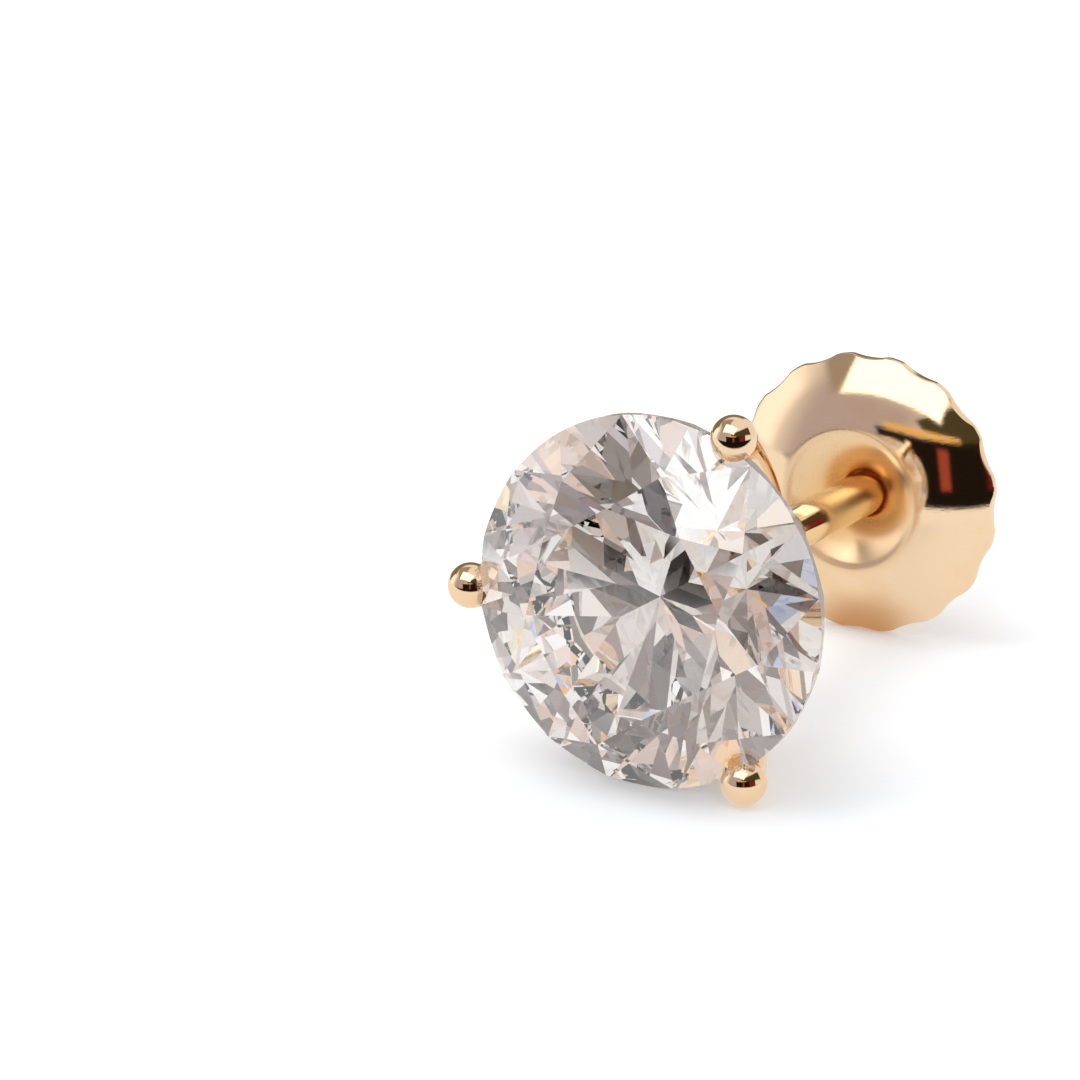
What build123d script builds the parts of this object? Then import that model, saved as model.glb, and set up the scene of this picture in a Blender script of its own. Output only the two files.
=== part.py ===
"""Three-prong stud earring with a round brilliant stone, a straight post and a screw-on back.

Millimetres, +Z up. The earring lies unworn, as it comes to rest on a table: on the edge of the stone, on
one prong ball and on two lobes of the back's rim, all at Z = 0. The stone's table faces -Y and the post
runs toward +Y, sloping down a few degrees. The origin is the bottom centre of the bounding box.
"""
from build123d import *
from math import acos, atan, cos, degrees, radians, sin, tan
import os

# Stone: a round brilliant of one carat, in the usual proportions.
stone_r = 3.25
table_share = 0.57  # table's width over the stone's, corner to corner
crown_angle = 34.5  # of the eight crown mains, from the girdle's plane
pavilion_angle = 40.75  # of the eight pavilion mains, from the girdle's plane
girdle_height = 0.20  # where the facets come closest to each other it is thinner
star_share = 0.50  # how far a star facet reaches from the table's edge to the girdle
lower_half_share = 0.77  # how far a lower half facet reaches from the girdle to the culet
stone_turn = 10.0  # of the facets about the axis

# Setting: three round wires with a ball at each tip, a base and a post.
prong_count = 3
ball_r = 0.40
ball_circle_r = 3.44  # the balls' centres lie on this circle
ball_height = 0.07  # of the balls' centres over the middle of the girdle
wire_r = 0.31
wire_bow = 0.15  # how far a wire bulges outward from a straight line
seat_clearance = 0.03  # between the stone and the notches that hold it
wire_foot_r = 0.15  # where the wires end inside the base
wire_foot_height = -4.50
base_top = -3.95
base_r = 0.72
base_edge = 0.15
base_end = -5.05
post_r = 0.40
post_taper_start = -11.8
tip_r = 0.25
tip_round_start = -13.0
post_end = -13.25

# Back: a domed disc, drawn in to a mouth round the post, with a threaded collar behind it.
rim_height = -8.45
rim_r = 2.60
rim_edge = 0.12  # thickness of the rim
scallop_count = 16
scallop_depth = 0.07
cutter_r = 1.48  # of the round cutter that bites each scallop from the rim
crest_r = 1.30
crest_height = -7.78
crest_round = 0.30  # radius of the crest's section
shoulder_angle = 15.0  # slope of the dome where it leaves the crest
mouth_angle = 30.0  # slope of the mouth where it leaves the crest
throat_r = 0.45  # where the mouth meets the threaded bore
throat_height = -8.44
sheet = 0.25  # thickness of the dome
collar_r = 1.05
collar_end = -9.60
bore_r = 0.43  # it clears the post all round
bore_chamfer = 0.08

# Crown: heights over the middle of the girdle.
half_turn_step = 360 / 16  # between the points where the facets meet at the girdle
girdle_top = girdle_height / 2
table_r = table_share * stone_r
table_edge_r = table_r * cos(radians(half_turn_step))  # to the middle of the table's edges
table_height = girdle_top + (stone_r - table_r) * tan(radians(crown_angle))
star_tip_r = table_edge_r + star_share * (stone_r - table_edge_r)
star_tip_height = girdle_top + (stone_r - star_tip_r * cos(radians(half_turn_step))) * tan(
    radians(crown_angle)
)
star_angle = degrees(atan((table_height - star_tip_height) / (star_tip_r - table_edge_r)))

# Pavilion: depths under the middle of the girdle.
half_tip_r = (1 - lower_half_share) * stone_r
half_tip_depth = girdle_top + (stone_r - half_tip_r * cos(radians(half_turn_step))) * tan(
    radians(pavilion_angle)
)
culet_depth = girdle_top + stone_r * tan(radians(pavilion_angle))

# The half facets meet the girdle along the chords between neighbouring points.
chord_share = cos(radians(half_turn_step / 2))
chord_r = stone_r * chord_share
upper_half_angle = degrees(
    atan((star_tip_height - girdle_top) / ((stone_r - star_tip_r) * chord_share))
)
lower_half_angle = degrees(
    atan((half_tip_depth - girdle_top) / ((stone_r - half_tip_r) * chord_share))
)

# The scallops are bites of a round cutter. What the bites leave of the rim are short arcs, its lobes.
cutter_circle_r = rim_r - scallop_depth + cutter_r
bite_angle = degrees(
    acos((rim_r**2 + cutter_circle_r**2 - cutter_r**2) / (2 * rim_r * cutter_circle_r))
)

# Rest: the stone's edge and two lobes of the rim touch the table and set the slope of the axis.
rim_back = rim_height - rim_edge
lobe_drop = rim_r * cos(radians(bite_angle))
slope = degrees(atan((stone_r - lobe_drop) / (-girdle_top - rim_back)))
centre_lift = stone_r * cos(radians(slope)) + girdle_top * sin(radians(slope))

# One ball touches the table too, which sets the turn of the setting about the axis.
ball_drop = centre_lift + ball_height * sin(radians(slope)) - ball_r
ball_turn = degrees(acos(ball_drop / (ball_circle_r * cos(radians(slope)))))
resting_ball = -90 + ball_turn
prong_angles = [resting_ball + 360 / prong_count * i for i in range(prong_count)]

# The bounding box runs from the left ball to the stone's edge, and from the table to the post's tip.
left_reach = ball_r - min(ball_circle_r * cos(radians(angle)) for angle in prong_angles)
table_corners = [stone_turn + 2 * half_turn_step * i for i in range(8)]
table_front = max(
    table_height * cos(radians(slope)) - table_r * sin(radians(angle)) * sin(radians(slope))
    for angle in table_corners
)
post_back = -post_end * cos(radians(slope))
centre_x = (left_reach - stone_r) / 2
centre_y = (table_front - post_back) / 2

# Every piece is made about this plane: the middle of the girdle, facing the stone's table.
front = Plane(
    origin=(centre_x, centre_y, centre_lift),
    x_dir=(1, 0, 0),
    z_dir=(0, -cos(radians(slope)), sin(radians(slope))),
)
axis = Axis(front.origin, front.z_dir)


def turned(angle):
    """The front plane turned about the axis by angle."""
    return Plane(front.location * Location((0, 0, 0), (0, 0, angle)))


def profile_plane(angle):
    """A plane through the axis: its X runs outward at angle and its Y runs along the axis to the front."""
    return Plane(turned(angle).location * Location((0, 0, 0), (90, 0, 0)))


def facet_plane(azimuth, radius, height, lean):
    """The plane of one facet, facing azimuth and leaning from the front by lean."""
    return Plane(turned(azimuth).location * Location((radius, 0, height), (0, lean, 0)))


# Each row is one tier of facets: count, first azimuth, a point's radius and height, and the lean.
facet_tiers = [
    ("crown mains", 8, 0, stone_r, girdle_top, crown_angle),
    ("stars", 8, half_turn_step, table_edge_r, table_height, star_angle),
    ("upper halves", 16, half_turn_step / 2, chord_r, girdle_top, upper_half_angle),
    ("pavilion mains", 8, 0, stone_r, -girdle_top, 180 - pavilion_angle),
    ("lower halves", 16, half_turn_step / 2, chord_r, -girdle_top, 180 - lower_half_angle),
]

# Round stone: a cylinder as wide as the girdle, with every facet cut off it.
with BuildPart() as round_stone:
    with BuildSketch(front.offset(-culet_depth)):
        Circle(stone_r)
    extrude(amount=culet_depth + table_height)
    for tier, count, first, radius, height, lean in facet_tiers:
        for i in range(count):
            azimuth = stone_turn + first + i * 360 / count
            split(bisect_by=facet_plane(azimuth, radius, height, lean), keep=Keep.BOTTOM)

# Setting: the wires run from the balls to the base, and the seat for the stone is cut last.
with BuildPart() as three_prong_setting:
    with BuildSketch(profile_plane(0)):
        with BuildLine():
            Polyline(
                (0, base_top),
                (base_r - base_edge, base_top),
                (base_r, base_top - base_edge),
                (post_r, base_end),
                (post_r, post_taper_start),
                (tip_r, tip_round_start),
            )
            TangentArc((0, post_end), (tip_r, tip_round_start), tangent=(1, 0))
            Line((0, post_end), (0, base_top))
        make_face()
    revolve(axis=axis)
    for angle in prong_angles:
        with BuildLine(profile_plane(angle)) as wire:
            SagittaArc((ball_circle_r, ball_height), (wire_foot_r, wire_foot_height), wire_bow)
        with BuildSketch(wire.line ^ 0):
            Circle(wire_r)
        sweep()
        with Locations(wire.line ^ 0):
            Sphere(ball_r)
    with BuildSketch(profile_plane(0)):
        with BuildLine():
            Polyline(
                (0, -culet_depth - 3 * seat_clearance),
                (stone_r + seat_clearance, -girdle_top - seat_clearance),
                (stone_r + seat_clearance, girdle_top + seat_clearance),
                (star_tip_r, star_tip_height + 2 * seat_clearance),
                (0, star_tip_height + 2 * seat_clearance),
                close=True,
            )
        make_face()
    revolve(axis=axis, mode=Mode.SUBTRACT)

# Back: the dome and the mouth meet at the crest, and the collar carries the thread.
shoulder_r = crest_r + crest_round * sin(radians(shoulder_angle))
shoulder_height = crest_height - crest_round * (1 - cos(radians(shoulder_angle)))
mouth_r = crest_r - crest_round * sin(radians(mouth_angle))
mouth_height = crest_height - crest_round * (1 - cos(radians(mouth_angle)))
with BuildPart() as screw_back:
    with BuildSketch(profile_plane(0)):
        with BuildLine():
            outer = TangentArc(
                (crest_r, crest_height), (shoulder_r, shoulder_height), tangent=(1, 0)
            )
            TangentArc((shoulder_r, shoulder_height), (rim_r, rim_height), tangent=outer % 1)
            Polyline((rim_r, rim_height), (rim_r, rim_back), (rim_r - rim_edge, rim_back))
            TangentArc((crest_r, crest_height - sheet), (rim_r - rim_edge, rim_back), tangent=(1, 0))
            Polyline(
                (crest_r, crest_height - sheet),
                (collar_r, crest_height - sheet),
                (collar_r, collar_end),
                (bore_r + bore_chamfer, collar_end),
                (bore_r, collar_end + bore_chamfer),
                (bore_r, throat_height - bore_chamfer),
                (throat_r, throat_height),
            )
            inner = TangentArc((crest_r, crest_height), (mouth_r, mouth_height), tangent=(-1, 0))
            TangentArc((mouth_r, mouth_height), (throat_r, throat_height), tangent=inner % 1)
        make_face()
    revolve(axis=axis)
    with BuildSketch(front.offset(rim_back - rim_edge)):
        with PolarLocations(cutter_circle_r, scallop_count, start_angle=-90):
            Circle(cutter_r)
    extrude(amount=3 * rim_edge + crest_height - rim_height, mode=Mode.SUBTRACT)

os.makedirs("parts", exist_ok=True)
round_stone.part.label = "round_stone"
export_step(round_stone.part, "parts/round_stone.step")
three_prong_setting.part.label = "three_prong_setting"
export_step(three_prong_setting.part, "parts/three_prong_setting.step")
screw_back.part.label = "screw_back"
export_step(screw_back.part, "parts/screw_back.step")
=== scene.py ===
from math import asin, atan2, cos, degrees, hypot, pi, radians, sin, sqrt, tan

import bmesh
import bpy
from mathutils import Matrix, Vector


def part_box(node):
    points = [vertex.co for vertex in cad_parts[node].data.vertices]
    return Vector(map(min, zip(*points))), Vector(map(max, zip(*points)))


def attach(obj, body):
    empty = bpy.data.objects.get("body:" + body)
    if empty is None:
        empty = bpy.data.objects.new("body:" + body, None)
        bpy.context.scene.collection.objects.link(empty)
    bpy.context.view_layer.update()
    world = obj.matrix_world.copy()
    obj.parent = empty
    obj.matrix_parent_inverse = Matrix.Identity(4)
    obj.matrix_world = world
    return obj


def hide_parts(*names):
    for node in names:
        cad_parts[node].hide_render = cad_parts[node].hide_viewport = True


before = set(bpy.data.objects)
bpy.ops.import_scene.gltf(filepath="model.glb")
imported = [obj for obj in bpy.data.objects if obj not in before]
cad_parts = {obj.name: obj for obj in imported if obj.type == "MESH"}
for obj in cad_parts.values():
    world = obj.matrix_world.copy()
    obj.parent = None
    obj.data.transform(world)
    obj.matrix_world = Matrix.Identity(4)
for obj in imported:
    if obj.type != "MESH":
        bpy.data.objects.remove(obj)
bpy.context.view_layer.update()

# The earring's own axis. It lies on its side, on the stone's rim and the back's, so the post slopes down
# to its tip by a few degrees. Pieces are modelled about the axis in millimetres: X to the right, Y up, Z
# toward the stone's table, from the middle of the girdle.
SLOPE = radians(4.558)
POST_END = -13.25
MM = 0.001

stone_low, stone_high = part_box("round_stone")
setting_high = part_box("three_prong_setting")[1]
girdle_centre = Vector((
    (stone_low.x + stone_high.x) / 2,
    setting_high.y + POST_END * MM * cos(SLOPE),
    (stone_low.z + stone_high.z) / 2,
))
to_table = Matrix.Rotation(pi / 2 - SLOPE, 4, "X")
placed = Matrix.Translation(girdle_centre) @ to_table @ Matrix.Scale(MM, 4)
axis_direction = to_table.to_3x3() @ Vector((0, 0, 1))


# The camera: a long lens, close by, a little above the table and to the right of the stone's face.
def seen_from(azimuth, elevation):
    """The unit vector from the earring toward a place at this azimuth and elevation, in degrees."""
    a, e = radians(azimuth), radians(elevation)
    return Vector((sin(a) * cos(e), -cos(a) * cos(e), sin(e)))


CAMERA_AZIMUTH = 29.08
CAMERA_ELEVATION = 19.49
CAMERA_ROLL = -1.13
CAMERA_DISTANCE = 0.0930
AIM_RIGHT, AIM_UP = -0.001837, 0.001082
LENS = 183.33
NEAREST, FURTHEST = 0.001, 10

toward_camera = seen_from(CAMERA_AZIMUTH, CAMERA_ELEVATION)
turn = toward_camera.to_track_quat("Z", "Y").to_matrix().to_4x4()
aim = girdle_centre + turn.to_3x3() @ Vector((AIM_RIGHT, AIM_UP, 0))
camera_data = bpy.data.cameras.new("camera")
camera_data.lens = LENS
camera_data.clip_start, camera_data.clip_end = NEAREST, FURTHEST
camera = bpy.data.objects.new("camera", camera_data)
camera.matrix_world = (
    Matrix.Translation(aim + toward_camera * CAMERA_DISTANCE) @ turn @ Matrix.Rotation(radians(CAMERA_ROLL), 4, "Z")
)
bpy.context.scene.collection.objects.link(camera)
bpy.context.scene.camera = camera
bpy.context.scene.view_settings.view_transform = "Standard"


# The gold: a warm pale yellow alloy of 14 karat, wheel-polished. Fine wheel marks and a thin haze of
# handling are left on it, the haze a little deeper in tone. The mouth of the back is satin, where no wheel
# reaches, and its gold is painted deeper there as painted shade in the hollow. The post's gold is painted
# paler, a painted reflection of the bright dome that it mirrors.
class Value:
    """A shader socket, so that sums on values can be written plainly."""

    def __init__(self, tree, socket):
        self.tree, self.socket = tree, socket

    def sum(self, operation, *values):
        return self.tree.node("ShaderNodeMath", {"operation": operation}, *values)

    def __add__(self, other): return self.sum("ADD", self, other)
    def __radd__(self, other): return self.sum("ADD", other, self)
    def __sub__(self, other): return self.sum("SUBTRACT", self, other)
    def __rsub__(self, other): return self.sum("SUBTRACT", other, self)
    def __mul__(self, other): return self.sum("MULTIPLY", self, other)
    def __rmul__(self, other): return self.sum("MULTIPLY", other, self)
    def __truediv__(self, other): return self.sum("DIVIDE", self, other)
    def __abs__(self): return self.sum("ABSOLUTE", self)

    def most(self, other):
        return self.sum("MAXIMUM", self, other)


class Tree:
    """The nodes of a material or of the world."""

    def __init__(self, owner):
        owner.use_nodes = True
        self.tree = owner.node_tree
        self.tree.nodes.clear()

    def node(self, kind, settings=None, *inputs, out=0, **named):
        """Adds a node: its settings first, then the values or links of its sockets; gives back one output."""
        made = self.tree.nodes.new(kind)
        for key, value in (settings or {}).items():
            if key == "stops":
                ramp = made.color_ramp
                while len(ramp.elements) < len(value):
                    ramp.elements.new(0.5)
                for element, (place, colour) in zip(ramp.elements, value):
                    element.position, element.color = place, (*colour, 1)
            else:
                setattr(made, key, value)
        sockets = list(enumerate(inputs)) + [(k.replace("_", " "), v) for k, v in named.items()]
        for key, value in sockets:
            if isinstance(value, Value):
                self.tree.links.new(value.socket, made.inputs[key])
            elif value is not None:
                made.inputs[key].default_value = value
        return Value(self, made.outputs[out]) if made.outputs else None

    def colours(self, factor, first, second):
        """A mix of two colours, each a link or (r, g, b)."""
        made = self.tree.nodes.new("ShaderNodeMix")
        made.data_type = "RGBA"
        for key, value in (("Factor_Float", factor), ("A_Color", first), ("B_Color", second)):
            socket = next(s for s in made.inputs if s.identifier == key)
            if isinstance(value, Value):
                self.tree.links.new(value.socket, socket)
            else:
                socket.default_value = value if key == "Factor_Float" else (*value, 1)
        return Value(self, next(s for s in made.outputs if s.identifier == "Result_Color"))

    def vectors(self, operation, *values, out=0):
        return self.node("ShaderNodeVectorMath", {"operation": operation}, *values, out=out)

    def dot(self, vector, direction):
        return self.vectors("DOT_PRODUCT", vector, tuple(direction), out=1)

    def step(self, value, low, high, start=0, end=1):
        """Runs smoothly from start to end as value goes from low to high."""
        return self.node("ShaderNodeMapRange", {"interpolation_type": "SMOOTHSTEP"}, value, low, high, start, end)

    def output(self, shader, kind="ShaderNodeOutputMaterial"):
        self.node(kind, None, shader)


def material(name):
    made = bpy.data.materials.new(name)
    return made, Tree(made)


GOLD = (0.955, 0.715, 0.475)
GOLD_HAZE_AND_SHADE = (0.93, 0.67, 0.41)
GOLD_PAINTED_PALE = (0.98, 0.86, 0.65)
POLISH_ROUGHNESS = 0.04
HAZE_ROUGHNESS, MARKS_ROUGHNESS, SATIN_ROUGHNESS = 0.05, 0.03, 0.20
HAZE_SCALE = 900.0
WHEEL_SCALE = (9000, 1200, 26000)
MARKS_DEPTH = 0.00001
CREST_OUT, CREST_IN = 1.48, 1.26
POST_IN, POST_OUT = 0.41, 0.43
MOUTH_FRONT, MOUTH_BEHIND = -7.60, -7.70
BORE_FRONT, BORE_BEHIND = -9.0, -9.4
SOLDER_FRONT, SOLDER_BEHIND = -5.0, -5.1

gold, tree = material("polished_gold")
place = tree.node("ShaderNodeTexCoord", out=3)
cloud = tree.node("ShaderNodeTexNoise", None, place, Scale=HAZE_SCALE, Detail=3.0, Roughness=0.55)
haze = tree.step(cloud, 0.45, 0.75)
along_wheel = tree.node("ShaderNodeMapping", None, place, Scale=WHEEL_SCALE)
marks = tree.node("ShaderNodeTexNoise", None, along_wheel, Scale=1.0, Detail=4.0, Roughness=0.65)
bump = tree.node("ShaderNodeBump", None, Strength=0.06, Distance=MARKS_DEPTH, Height=marks)
offset = tree.vectors("SUBTRACT", place, tuple(girdle_centre))
height = tree.dot(offset, axis_direction) / MM
radius = tree.vectors("LENGTH", tree.vectors("CROSS_PRODUCT", offset, tuple(axis_direction)), out=1) / MM
# Painted shade: the mouth is made rougher and its gold is also painted deeper, for the shade in the hollow.
round_mouth = tree.step(radius, CREST_OUT, CREST_IN) * tree.step(radius, POST_IN, POST_OUT)
along_mouth = tree.step(height, MOUTH_FRONT, MOUTH_BEHIND) * tree.step(height, BORE_BEHIND, BORE_FRONT)
satin_and_shaded_mouth = round_mouth * along_mouth
# Painted reflection: the post's gold is painted paler, standing in for the bright dome that it mirrors.
post_painted_pale = tree.step(radius, POST_OUT, POST_IN) * tree.step(height, SOLDER_FRONT, SOLDER_BEHIND)
haze_and_mouth_shade = haze + satin_and_shaded_mouth - haze * satin_and_shaded_mouth
gold_shader = tree.node(
    "ShaderNodeBsdfPrincipled", None, Metallic=1.0, Normal=bump,
    Base_Color=tree.colours(post_painted_pale, tree.colours(haze_and_mouth_shade, GOLD, GOLD_HAZE_AND_SHADE), GOLD_PAINTED_PALE),
    Roughness=POLISH_ROUGHNESS + haze * HAZE_ROUGHNESS + marks * MARKS_ROUGHNESS + satin_and_shaded_mouth * SATIN_ROUGHNESS,
)
tree.output(gold_shader)

# The round brilliant stone: a colourless diamond of about one carat, cut and polished to flat facets. It
# keeps the CAD solid. Its girdle is left bruted, a fine frosted band, and the rest is polished clear.
DIAMOND_TINT = (1.0, 0.972, 0.95, 1)
DIAMOND_IOR = 2.417
BRUTED_ROUGHNESS, FROST_ROUGHNESS = 0.06, 0.08
FROST_SCALE = 30000.0

diamond, tree = material("diamond")
place = tree.node("ShaderNodeTexCoord", out=3)
facing = tree.dot(tree.node("ShaderNodeNewGeometry", out=1), axis_direction)
girdle = tree.step(abs(facing), 0.2, 0.1)
frost = tree.node("ShaderNodeTexNoise", None, place, Scale=FROST_SCALE, Detail=2.0)
stone_shader = tree.node(
    "ShaderNodeBsdfPrincipled", None, Base_Color=DIAMOND_TINT, IOR=DIAMOND_IOR, Transmission_Weight=1.0,
    Roughness=girdle * (BRUTED_ROUGHNESS + frost * FROST_ROUGHNESS),
)
tree.output(stone_shader)
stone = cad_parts["round_stone"]
stone.data.materials.clear()
stone.data.materials.append(diamond)


# The three-prong setting: three gold wires soldered into a small turned base, each with a bead melted on
# its tip, and a post with a screw thread soldered behind. The stone sits in notches cut in the wires.
class Lathe:
    """A profile of radius and height, drawn point by point and then turned about the post's axis."""

    def __init__(self, radius, height):
        self.mesh = bmesh.new()
        self.tip = self.mesh.verts.new((radius, 0, height))

    def line(self, *points):
        for radius, height in points:
            start, self.tip = self.tip, self.mesh.verts.new((radius, 0, height))
            self.mesh.edges.new((start, self.tip))

    def arc(self, radius, height, angle, steps):
        """Turns the profile's end by angle, in degrees, about the centre at radius, height."""
        spun = bmesh.ops.spin(
            self.mesh, geom=[self.tip], cent=(radius, 0, height), axis=(0, 1, 0), angle=radians(angle), steps=steps
        )
        self.tip = next(g for g in spun["geom_last"] if isinstance(g, bmesh.types.BMVert))

    def turned(self, steps):
        bmesh.ops.spin(
            self.mesh, geom=self.mesh.verts[:] + self.mesh.edges[:], cent=(0, 0, 0), axis=(0, 0, 1),
            angle=2 * pi, steps=steps, use_merge=True,
        )
        bmesh.ops.remove_doubles(self.mesh, verts=self.mesh.verts, dist=1e-5)
        bmesh.ops.recalc_face_normals(self.mesh, faces=self.mesh.faces)
        return self.mesh


def as_object(mesh, name):
    data = bpy.data.meshes.new(name)
    mesh.to_mesh(data)
    mesh.free()
    made = bpy.data.objects.new(name, data)
    bpy.context.scene.collection.objects.link(made)
    return made


def applied(target):
    graph = bpy.context.evaluated_depsgraph_get()
    data = bpy.data.meshes.new_from_object(target.evaluated_get(graph))
    target.modifiers.clear()
    target.data = data
    return target


def combined(target, other, operation):
    """Target joined with the other shape, or cut by it; the other is used up."""
    cut = target.modifiers.new("cut", "BOOLEAN")
    cut.object, cut.operation, cut.solver = other, operation, "EXACT"
    applied(target)
    bpy.data.objects.remove(other)
    return target


SLIVER = 0.001


def smoothed(target, sharp_angle):
    """Merges slivers left by the cuts, and shades the piece smooth but for the edges sharper than this."""
    mesh = bmesh.new()
    mesh.from_mesh(target.data)
    bmesh.ops.remove_doubles(mesh, verts=mesh.verts, dist=SLIVER)
    for face in mesh.faces:
        face.smooth = True
    for edge in mesh.edges:
        edge.smooth = len(edge.link_faces) == 2 and edge.calc_face_angle() < radians(sharp_angle)
    mesh.to_mesh(target.data)
    mesh.free()
    return target


def seated(target, name, body, node):
    """Moves a gold piece made in millimetres to its place, and hands it to the body that carries it."""
    target.name = name
    target.data.transform(placed)
    target.data.materials.clear()
    target.data.materials.append(gold)
    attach(target, body)
    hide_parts(node)
    return target


SHARP_ANGLE = 30
BASE_TOP, BASE_END = -3.95, -5.05
BASE_R, BASE_ROUND = 0.72, 0.15
SOLDER_R, SOLDER_LENGTH = 0.50, 0.05
POST_R = 0.40
THREAD_START, THREAD_PITCH, THREAD_DEPTH = -8.5, 0.25, 0.06
THREAD_TURNS, THREAD_ROWS = 13, 8
THREAD_EDGE = 0.001
TAPER = (0.25, -13.0), (0.2, -13.14), (0.11, -13.22), (0, POST_END)

post = Lathe(0, BASE_TOP)
post.line((BASE_R - BASE_ROUND, BASE_TOP))
post.arc(BASE_R - BASE_ROUND, BASE_TOP - BASE_ROUND, 90, 8)
post.line((SOLDER_R, BASE_END + SOLDER_LENGTH), (POST_R, BASE_END), (POST_R, THREAD_START))
for i in range(THREAD_TURNS * THREAD_ROWS):
    post.line((POST_R, THREAD_START - (i + 1) * THREAD_PITCH / THREAD_ROWS))
post.line(*TAPER)
mesh = post.turned(64)
for vertex in mesh.verts:
    run = THREAD_START - vertex.co.z
    threaded = THREAD_EDGE < run < THREAD_TURNS * THREAD_PITCH - THREAD_EDGE
    if hypot(vertex.co.x, vertex.co.y) < POST_R - THREAD_EDGE or not threaded:
        continue
    phase = (run / THREAD_PITCH + atan2(vertex.co.y, vertex.co.x) / (2 * pi)) % 1
    groove = min(1, max(0, 1.5 - 4 * abs(phase - 0.5))) * min(1, run / THREAD_PITCH)
    vertex.co.x *= 1 - groove * THREAD_DEPTH / POST_R
    vertex.co.y *= 1 - groove * THREAD_DEPTH / POST_R
setting = as_object(mesh, "three_prong_setting_fine")

PRONGS = 3
PRONG_TURN = -90 + 33.69
BEAD_R = 0.40
BEAD_CENTRE = Vector((3.44, 0, 0.07))
FOOT = Vector((0.15, 0, -4.50))
WIRE_R, WIRE_BOW = 0.31, 0.15
NECK_LENGTH, NECK_SWELL = 0.8, 0.22

chord = (BEAD_CENTRE - FOOT).length
bow_r = (chord**2 / 4 + WIRE_BOW**2) / (2 * WIRE_BOW)
along = (FOOT - BEAD_CENTRE).normalized()
outward = Vector((-along.z, 0, along.x))
bow_centre = (BEAD_CENTRE + FOOT) / 2 + outward * (WIRE_BOW - bow_r)
bow_angle = 2 * asin(chord / 2 / bow_r)
tip_direction = Vector((0, 1, 0)).cross(BEAD_CENTRE - bow_centre).normalized()
for i in range(PRONGS):
    wire = bmesh.new()
    ring = bmesh.ops.create_circle(wire, cap_ends=True, segments=48, radius=WIRE_R)["verts"]
    bmesh.ops.rotate(wire, verts=ring, matrix=tip_direction.to_track_quat("Z", "Y").to_matrix())
    bmesh.ops.translate(wire, verts=ring, vec=BEAD_CENTRE)
    bmesh.ops.spin(
        wire, geom=wire.verts[:] + wire.edges[:] + wire.faces[:], cent=bow_centre, axis=(0, 1, 0),
        angle=bow_angle, steps=40,
    )
    bmesh.ops.recalc_face_normals(wire, faces=wire.faces)
    for vertex in wire.verts:
        from_centre = Vector((vertex.co.x, 0, vertex.co.z)) - bow_centre
        core = bow_centre + from_centre.normalized() * bow_r
        near = max(0, 1 - (core - BEAD_CENTRE).length / NECK_LENGTH)
        vertex.co = core + (vertex.co - core) * (1 + NECK_SWELL * near * near)
    prong = as_object(wire, "prong")
    bead = bmesh.new()
    bmesh.ops.create_uvsphere(bead, u_segments=64, v_segments=32, radius=BEAD_R)
    bmesh.ops.translate(bead, verts=bead.verts, vec=BEAD_CENTRE)
    prong = combined(prong, as_object(bead, "bead"), "UNION")
    prong.data.transform(Matrix.Rotation(radians(PRONG_TURN + 360 / PRONGS * i), 4, "Z"))
    setting = combined(setting, prong, "UNION")

STONE_R, GIRDLE_TOP, CULET_DEPTH = 3.25, 0.10, 2.9007
SEAT_GAP = 0.03
STAR_TIP_R, STAR_TIP_HEIGHT = 2.483, 0.6588
seat_r, seat_edge, seat_top = STONE_R + SEAT_GAP, GIRDLE_TOP + SEAT_GAP, STAR_TIP_HEIGHT + 2 * SEAT_GAP
seat = Lathe(0, -CULET_DEPTH - 3 * SEAT_GAP)
seat.line((seat_r, -seat_edge), (seat_r, seat_edge), (STAR_TIP_R, seat_top), (0, seat_top))
setting = combined(setting, as_object(seat.turned(128), "seat"), "DIFFERENCE")
seated(smoothed(setting, SHARP_ANGLE), "three_prong_setting_fine", "stud", "three_prong_setting")

# The screw back: a disc of gold sheet pressed into a dome and drawn in to a mouth round its hole,
# scalloped at the rim to be gripped, with a tapped collar soldered behind it. It turns onto the post.
RIM_R, RIM_HEIGHT, RIM_EDGE = 2.60, -8.45, 0.12
CREST_R, CREST_HEIGHT, CREST_ROUND = 1.30, -7.78, 0.30
SHOULDER_ANGLE, MOUTH_ANGLE = 15, 30
THROAT_R, THROAT_HEIGHT = 0.45, -8.44
SHEET = 0.25
COLLAR_R, COLLAR_END = 1.05, -9.60
BORE_R, BORE_CHAMFER, THROAT_LIP = 0.43, 0.08, 0.04
shoulder, mouth_slope = radians(SHOULDER_ANGLE), radians(MOUTH_ANGLE)
rim_back = RIM_HEIGHT - RIM_EDGE
crest_centre = CREST_HEIGHT - CREST_ROUND

# The dome falls from the crest's shoulder to the rim, and the sheet's inside follows it.
shoulder_r = CREST_R + CREST_ROUND * sin(shoulder)
shoulder_height = CREST_HEIGHT - CREST_ROUND * (1 - cos(shoulder))
rim_angle = 2 * degrees(atan2(shoulder_height - RIM_HEIGHT, RIM_R - shoulder_r)) - SHOULDER_ANGLE
dome_r = (RIM_R - shoulder_r) / (sin(radians(rim_angle)) - sin(shoulder))
dome_centre_r = shoulder_r - dome_r * sin(shoulder)
dome_centre_height = shoulder_height - dome_r * cos(shoulder)
inside_fall = CREST_HEIGHT - SHEET - rim_back
inside_reach = RIM_R - RIM_EDGE - CREST_R
inside_r = (inside_reach**2 + inside_fall**2) / (2 * inside_fall)

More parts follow.
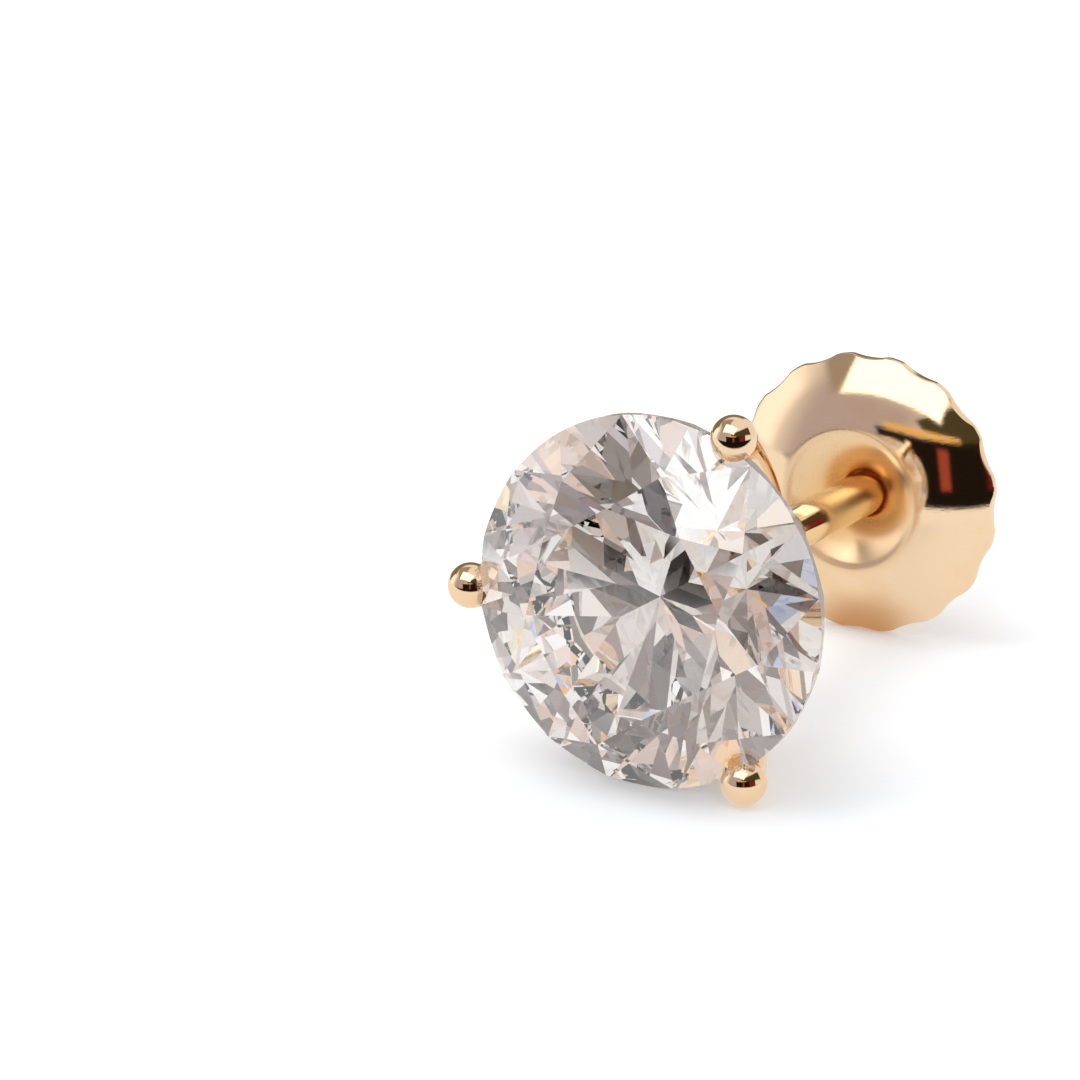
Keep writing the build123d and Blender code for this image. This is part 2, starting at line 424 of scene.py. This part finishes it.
# The mouth falls from the crest to the throat in one bell-shaped curve.
mouth_r = CREST_R - CREST_ROUND * sin(mouth_slope)
mouth_height = CREST_HEIGHT - CREST_ROUND * (1 - cos(mouth_slope))
throat_angle = 2 * degrees(atan2(mouth_height - THROAT_HEIGHT, mouth_r - THROAT_R)) - MOUTH_ANGLE
bell_r = (mouth_r - THROAT_R) / (sin(radians(throat_angle)) - sin(mouth_slope))
bell_centre_r = mouth_r + bell_r * sin(mouth_slope)
bell_centre_height = mouth_height - bell_r * cos(mouth_slope)

back = Lathe(CREST_R, CREST_HEIGHT)
back.arc(CREST_R, crest_centre, SHOULDER_ANGLE, 10)
back.arc(dome_centre_r, dome_centre_height, rim_angle - SHOULDER_ANGLE, 36)
back.line((RIM_R, rim_back), (RIM_R - RIM_EDGE, rim_back))
back.arc(CREST_R, CREST_HEIGHT - SHEET - inside_r, -degrees(asin(inside_reach / inside_r)), 32)
back.line((COLLAR_R, CREST_HEIGHT - SHEET), (COLLAR_R, COLLAR_END), (BORE_R + BORE_CHAMFER, COLLAR_END))
back.line((BORE_R, COLLAR_END + BORE_CHAMFER), (BORE_R, THROAT_HEIGHT - THROAT_LIP), (THROAT_R, THROAT_HEIGHT))
back.arc(bell_centre_r, bell_centre_height, throat_angle - MOUTH_ANGLE, 24)
back.arc(CREST_R, crest_centre, MOUTH_ANGLE, 10)
mesh = back.turned(192)

# The scallops: round bites out of the rim. The dome is drawn in to them, so that its sheet keeps its form.
SCALLOPS, SCALLOP_DEPTH, CUTTER_R = 16, 0.07, 1.48
cutter_circle_r = RIM_R - SCALLOP_DEPTH + CUTTER_R
lobe = 2 * pi / SCALLOPS
inset = RIM_R - RIM_EDGE


def dome_height(radius):
    return dome_centre_height + sqrt(dome_r**2 - (radius - dome_centre_r) ** 2)


for vertex in mesh.verts:
    reach = hypot(vertex.co.x, vertex.co.y)
    if reach < shoulder_r:
        continue
    off = (atan2(vertex.co.y, vertex.co.x) + pi / 2 + lobe / 2) % lobe - lobe / 2
    across = cutter_circle_r * sin(off)
    limit = RIM_R
    if abs(across) < CUTTER_R:
        limit = min(RIM_R, cutter_circle_r * cos(off) - sqrt(CUTTER_R**2 - across**2))
    if abs(vertex.co.z - dome_height(reach)) < 1e-3:
        cut = shoulder_r + (reach - shoulder_r) * (limit - shoulder_r) / (RIM_R - shoulder_r)
        vertex.co.z = dome_height(cut)
    elif reach > inset:
        cut = inset + (reach - inset) * (limit - inset) / RIM_EDGE
    else:
        continue
    vertex.co.x *= cut / reach
    vertex.co.y *= cut / reach

EDGE_SOFTNESS, SOFTENED_ANGLE = 0.025, 35
back = as_object(mesh, "screw_back_fine")
softened = back.modifiers.new("softened", "BEVEL")
softened.limit_method, softened.angle_limit = "ANGLE", radians(SOFTENED_ANGLE)
softened.width, softened.segments = EDGE_SOFTNESS, 3
applied(back)
seated(smoothed(back, SHARP_ANGLE), "screw_back_fine", "back", "screw_back")

# The table that the earring rests on: a matt white board, which takes its soft shadow. Behind the back it
# falls away as the post does, so that the back can slide to the post's tip. It shows white to the camera
# and through the stone. In the gold it ends at its near edge, where the dark room begins, and it has a
# painted shadow at the foot of the back, warmed as if lit by light bounced off the gold.
TABLE_WHITE = (0.95, 0.95, 0.95, 1)
TABLE_GLOW = 0.20
NEAR_EDGE, EDGE_END = 0.0145, 0.018
EDGE_AZIMUTH = 31
MIRRORED_SHARE = 0.7
MIRRORED_TABLE, PAINTED_SHADOW_AND_BOUNCE = (0.88, 0.87, 0.86), (0.50, 0.27, 0.11)
DARK_ROOM = (0.012, 0.008, 0.006)
SPOT_BEHIND, SPOT_IN, SPOT_OUT = 0.0006, 0.0003, 0.0015
CAMERA_RAY, GLOSSY_RAY, TRANSMISSION_RAY = 0, 3, 6

bend = girdle_centre.y - (rim_back * cos(SLOPE) + RIM_R * sin(SLOPE)) * MM
table = bmesh.new()
bmesh.ops.create_grid(table, x_segments=1, y_segments=1, size=1.5)
board = table.verts[:] + table.edges[:] + table.faces[:]
bmesh.ops.bisect_plane(table, geom=board, plane_co=(0, bend, 0), plane_no=(0, 1, 0))
for vertex in table.verts:
    vertex.co.z = -max(0, vertex.co.y - bend) * tan(SLOPE)
table = as_object(table, "table")
white, tree = material("white_table")
to_camera = tree.node("ShaderNodeLightPath", out=CAMERA_RAY)
glossy = tree.node("ShaderNodeLightPath", out=GLOSSY_RAY)
through = tree.node("ShaderNodeLightPath", out=TRANSMISSION_RAY)
place = tree.node("ShaderNodeTexCoord", out=3)
matt = tree.node("ShaderNodeBsdfDiffuse", None, Color=TABLE_WHITE)
glow = tree.node("ShaderNodeEmission", None, Strength=to_camera.most(glossy).most(through) * TABLE_GLOW)
lit = tree.node("ShaderNodeAddShader", None, matt, glow)
back_low, back_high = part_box("screw_back")
# Painted shadow and warm bounce light, seen only in the gold: a dark orange spot on the table at the back's foot.
foot = ((back_low.x + back_high.x) / 2, back_low.y + SPOT_BEHIND, 0)
away = tree.vectors("DISTANCE", place, foot, out=1)
painted_shadow_and_bounce = tree.colours(tree.step(away, SPOT_IN, SPOT_OUT), PAINTED_SHADOW_AND_BOUNCE, MIRRORED_TABLE)
even = tree.node("ShaderNodeEmission", None, Color=painted_shadow_and_bounce, Strength=1.0)
lit = tree.node("ShaderNodeMixShader", None, glossy * MIRRORED_SHARE, lit, even)
dark = tree.node("ShaderNodeEmission", None, Color=(*DARK_ROOM, 1), Strength=1.0)
past_edge = tree.step(tree.dot(place, seen_from(EDGE_AZIMUTH, 0)), NEAR_EDGE, EDGE_END)
tree.output(tree.node("ShaderNodeMixShader", None, past_edge * glossy, lit, dark))
table.data.materials.append(white)

# The studio round it: pale walls, a wide soft box overhead, and the dark room behind the camera. The gold
# mirrors all of it sharply, and the stone breaks a mottled view of it into facets. Matt surfaces are lit
# by a plain pale sky and one soft lamp, and the camera sees white.
world = bpy.data.worlds.new("studio")
bpy.context.scene.world = world
tree = Tree(world)
direction = tree.node("ShaderNodeTexCoord", out=0)


def patch(azimuth, elevation, half_width, half_height, soft):
    """A soft-edged rectangle in the sky, as a mask; sizes are in degrees."""
    middle = seen_from(azimuth, elevation)
    right = Vector((cos(radians(azimuth)), sin(radians(azimuth)), 0))
    mask = tree.step(tree.dot(direction, middle), 0.0, 0.1)
    for side, half in ((right, half_width), (right.cross(middle), half_height)):
        mask = mask * tree.step(abs(tree.dot(direction, side)), sin(radians(half)), sin(radians(half + soft)), 1, 0)
    return mask


PALE_WALL = (0.88, 0.87, 0.86)
MAUVE_WALL = (0.48, 0.44, 0.50)
LEFT_WINDOW = (1.25, 1.22, 1.25)
OLIVE_CORNER = (0.22, 0.19, 0.12)
OLIVE_CURTAIN = (0.07, 0.06, 0.03)
GREY_CEILING = (0.36, 0.33, 0.29)
SOFT_BOX = (1.9, 1.9, 1.9)
BRASS_RAIL = (0.85, 0.57, 0.24)
RED_LAMP = (0.34, 0.07, 0.04)
RED_CHAIR = (0.18, 0.02, 0.02)
mirrored = PALE_WALL
for azimuth, elevation, half_width, half_height, soft, colour in (
    (-26, 18, 20, 16, 30, MAUVE_WALL),
    (-84, 12, 7, 12, 14, LEFT_WINDOW),
    (-134, 14, 34, 20, 6, OLIVE_CORNER),
    (72, 36, 47, 12, 3, OLIVE_CURTAIN),
    (-82, 60, 26, 16, 6, GREY_CEILING),
    (-8, 61, 26, 17, 3, SOFT_BOX),
    (14, 27, 22, 1.8, 1.0, BRASS_RAIL),
    (37, 6, 46, 18, 2, DARK_ROOM),
    (25, 8, 2.0, 11, 3.0, RED_LAMP),
    (68, 4, 10, 15, 6, RED_CHAIR),
):
    mirrored = tree.colours(patch(azimuth, elevation, half_width, half_height, soft), mirrored, colour)

MOTTLE_SCALE, MOTTLE_PLACE = 2.98, 58.945
MOTTLE = [
    (0.30, (0.11, 0.08, 0.06)),
    (0.40, (0.30, 0.25, 0.23)),
    (0.50, (0.57, 0.51, 0.49)),
    (0.60, (0.82, 0.77, 0.74)),
    (0.70, (1.10, 1.06, 1.02)),
]
BLUSH_SCALE, BLUSH = 3.1, (0.72, 0.54, 0.45)
four = {"noise_dimensions": "4D"}
drift = tree.node(
    "ShaderNodeTexNoise", four, direction, W=MOTTLE_PLACE, Scale=MOTTLE_SCALE, Detail=1.0, Roughness=0.4
)
broken = tree.node("ShaderNodeValToRGB", {"stops": MOTTLE}, drift)
tint = tree.node("ShaderNodeTexNoise", four, direction, W=0.0, Scale=BLUSH_SCALE, Detail=0.0)
broken = tree.colours(tree.step(tint, 0.52, 0.68), broken, BLUSH)
DIM_FRONT = (0.16, 0.12, 0.11)
AMBER, BRASS, CREAM = (0.95, 0.55, 0.22), (0.95, 0.52, 0.20), (0.98, 0.80, 0.50)
SKY_BLUE, PALE_BLUE, VIOLET = (0.45, 0.58, 0.88), (0.42, 0.55, 0.82), (0.55, 0.50, 0.85)
FIRE_SOFTNESS = 5
for azimuth, elevation, half, colour in (
    (35, 22, 19, DIM_FRONT),
    (-52, 34, 7, AMBER),
    (-15, 62, 3, SKY_BLUE),
    (80, 48, 8, BRASS),
    (-95, 22, 7, VIOLET),
    (5, 40, 3, CREAM),
    (120, 30, 6, PALE_BLUE),
):
    broken = tree.colours(patch(azimuth, elevation, half, half, FIRE_SOFTNESS), broken, colour)

PLAIN_SKY = (0.78, 0.80, 0.83)
sky = tree.colours(tree.node("ShaderNodeLightPath", out=GLOSSY_RAY), PLAIN_SKY, mirrored)
sky = tree.colours(tree.node("ShaderNodeLightPath", out=TRANSMISSION_RAY), sky, broken)
sky = tree.colours(tree.node("ShaderNodeLightPath", out=CAMERA_RAY), sky, (1, 1, 1))
tree.output(tree.node("ShaderNodeBackground", None, sky, 1.0), "ShaderNodeOutputWorld")

LAMP_SIZE, LAMP_POWER, LAMP_DISTANCE = 0.20, 0.24, 0.30
LAMP_AZIMUTH, LAMP_ELEVATION = -66, 68
lamp_data = bpy.data.lights.new("soft_lamp", "AREA")
lamp_data.shape, lamp_data.size, lamp_data.energy = "DISK", LAMP_SIZE, LAMP_POWER
lamp = bpy.data.objects.new("soft_lamp", lamp_data)
toward = seen_from(LAMP_AZIMUTH, LAMP_ELEVATION)
lamp.matrix_world = Matrix.Translation(toward * LAMP_DISTANCE) @ toward.to_track_quat("Z", "Y").to_matrix().to_4x4()
lamp.visible_glossy = lamp.visible_transmission = False
bpy.context.scene.collection.objects.link(lamp)

# Light is let through the stone until it has met about as many facets as it does in a real one.
cycles = bpy.context.scene.cycles
cycles.max_bounces, cycles.glossy_bounces, cycles.transmission_bounces = 24, 16, 16
